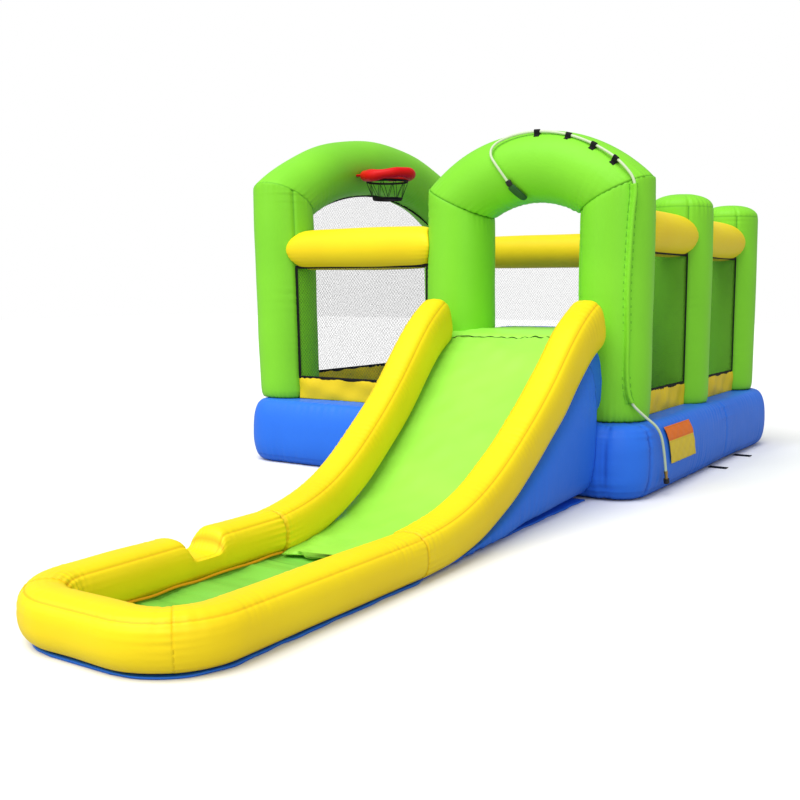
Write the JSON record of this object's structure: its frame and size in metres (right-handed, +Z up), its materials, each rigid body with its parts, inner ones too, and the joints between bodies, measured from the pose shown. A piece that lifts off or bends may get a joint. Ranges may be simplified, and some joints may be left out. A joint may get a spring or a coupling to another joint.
{
  "type": "inflatable bounce house",
  "caption": "Inflatable bounce house with netted walls, arched supports, a ball hoop, a water slide with a spray hose and a splash pool, kept up by a blower.",
  "frame": {"origin": "middle of the footprint, on the ground", "axes": "+Z up, the slide runs out towards -Y, +X to the right of someone who faces the slide"},
  "size_m": [3.116, 6.892, 2.35],
  "materials": {
    "blue_fabric": "coated woven nylon, sewn",
    "green_fabric": "coated woven nylon, sewn",
    "yellow_fabric": "coated woven nylon, sewn",
    "red_fabric": "coated woven nylon, sewn",
    "slide_vinyl": "smooth coated sheet",
    "black_mesh": "open knitted netting with bound edges",
    "black_webbing": "woven strap",
    "hose_plastic": "pale flexible tube",
    "label_print": "printed cloth panel without text",
    "grey_plastic": "moulded, fine grain",
    "blower_plastic": "moulded, fine grain",
    "steel": "turned and plated",
    "brass": "turned"
  },
  "bodies": {
    "root": {"base_mattress": "blue_fabric", "bounce_floor": "blue_fabric", "slide_arch_left_leg": "green_fabric", "slide_arch_right_leg": "green_fabric", "slide_arch_crown": "green_fabric", "left_arch_front_leg": "green_fabric", "left_arch_rear_leg": "green_fabric", "left_arch_crown": "green_fabric", "right_middle_column": "green_fabric", "right_back_column": "green_fabric", "front_beam": "yellow_fabric", "back_beam": "yellow_fabric", "right_front_beam": "yellow_fabric", "right_rear_beam": "yellow_fabric", "front_net": "black_mesh", "back_left_net": "black_mesh", "back_right_net": "black_mesh", "right_front_net": "black_mesh", "right_rear_net": "black_mesh", "left_net": "black_mesh", "front_skirt": "yellow_fabric", "back_left_skirt": "yellow_fabric", "back_right_skirt": "yellow_fabric", "right_front_skirt": "yellow_fabric", "right_rear_skirt": "yellow_fabric", "left_skirt": "yellow_fabric", "platform": "blue_fabric", "climbing_steps": "blue_fabric", "slide_body": "blue_fabric", "slide_bed": "slide_vinyl", "right_rail": "yellow_fabric", "left_rail": "yellow_fabric", "pool_right_wall": "yellow_fabric", "pool_front_wall": "yellow_fabric", "pool_left_wall": "yellow_fabric", "pool_floor": "slide_vinyl", "ground_sheet": "blue_fabric", "hoop_ring": "red_fabric", "hoop_net": "black_webbing", "hoop_straps": "red_fabric", "water_hose": "hose_plastic", "hose_loops": "black_webbing", "hose_sleeves": "green_fabric", "spray_head": "grey_plastic", "coupling_tail": "brass", "safety_label": "label_print", "anchor_tabs": "black_webbing", "zipper_tape": "black_webbing", "blower_case_left": "blower_plastic", "blower_case_right": "blower_plastic", "inlet_grille": "grey_plastic", "motor": "steel", "blower_stand": "grey_plastic", "inlet_sleeve": "blue_fabric", "sleeve_strap": "black_webbing"},
    "fan_wheel": {"impeller": "grey_plastic", "motor_shaft": "steel"},
    "rocker": {"switch_rocker": "grey_plastic"},
    "collar": {"coupling_collar": "grey_plastic"},
    "slider": {"zipper_slider": "steel"}
  },
  "joints": [
    {"name": "fan_spin", "type": "hinge", "parent": "root", "child": "fan_wheel", "pos_m": [-0.505, 3.296, 0.19], "axis": [1, 0, 0], "continuous": true},
    {"name": "switch_rock", "type": "hinge", "parent": "root", "child": "rocker", "pos_m": [-0.589, 3.388, 0.23], "axis": [0, 1, 0], "range_deg": [-7, 7]},
    {"name": "collar_turn", "type": "hinge", "parent": "root", "child": "collar", "pos_m": [1.517, 0.31863, 0.08514], "axis": [0, 0.271, -0.9626], "continuous": true},
    {"name": "zip_slide", "type": "slide", "parent": "root", "child": "slider", "axis": [1, 0, 0], "range_m": [0, 0.38]}
  ]
}
